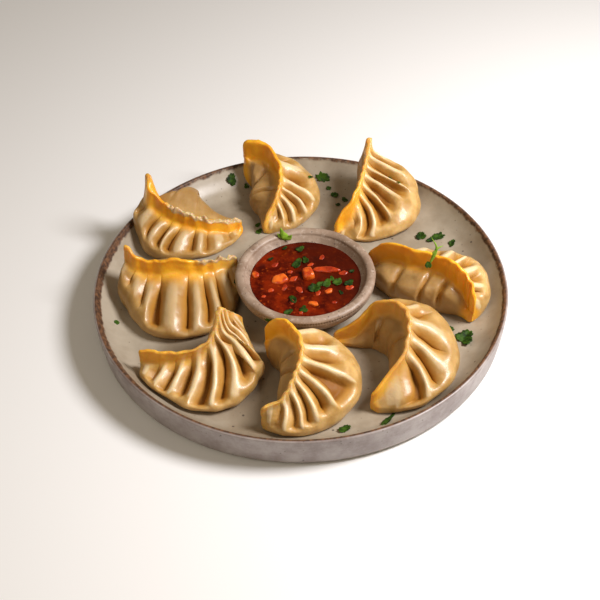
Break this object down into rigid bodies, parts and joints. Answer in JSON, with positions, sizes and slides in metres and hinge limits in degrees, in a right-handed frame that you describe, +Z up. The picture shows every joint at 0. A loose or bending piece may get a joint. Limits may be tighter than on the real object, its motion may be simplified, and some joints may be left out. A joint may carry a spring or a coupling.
{
  "type": "plate of momo dumplings",
  "caption": "Pleated half-moon dumplings lying on a round stoneware plate, around a small thick-walled bowl of red chilli dip.",
  "frame": {"origin": "centre of the plate's base, at the height it stands on", "axes": "+Z is up; +Y runs from the front of the plate to its back; +X is to the right"},
  "size_m": [0.24, 0.24, 0.0488],
  "materials": {
    "stoneware": "satin glaze, greige inside, mauve-grey outside, with a bare brown rim edge and sparse dark specks",
    "bowl_clay": "rough speckled mauve-beige stoneware",
    "chilli_dip": "wet glossy deep red, an oily tomato and chilli dip",
    "dough": "moist steamed dough, creamy yellow on the folds and golden orange where the sheet is thin"
  },
  "bodies": {
    "root": {"plate": "stoneware", "dip_bowl": "bowl_clay", "dip": "chilli_dip", "dumpling_1": "dough", "dumpling_2": "dough", "dumpling_3": "dough", "dumpling_4": "dough", "dumpling_5": "dough", "dumpling_6": "dough", "dumpling_7": "dough", "dumpling_8": "dough"}
  },
  "joints": []
}
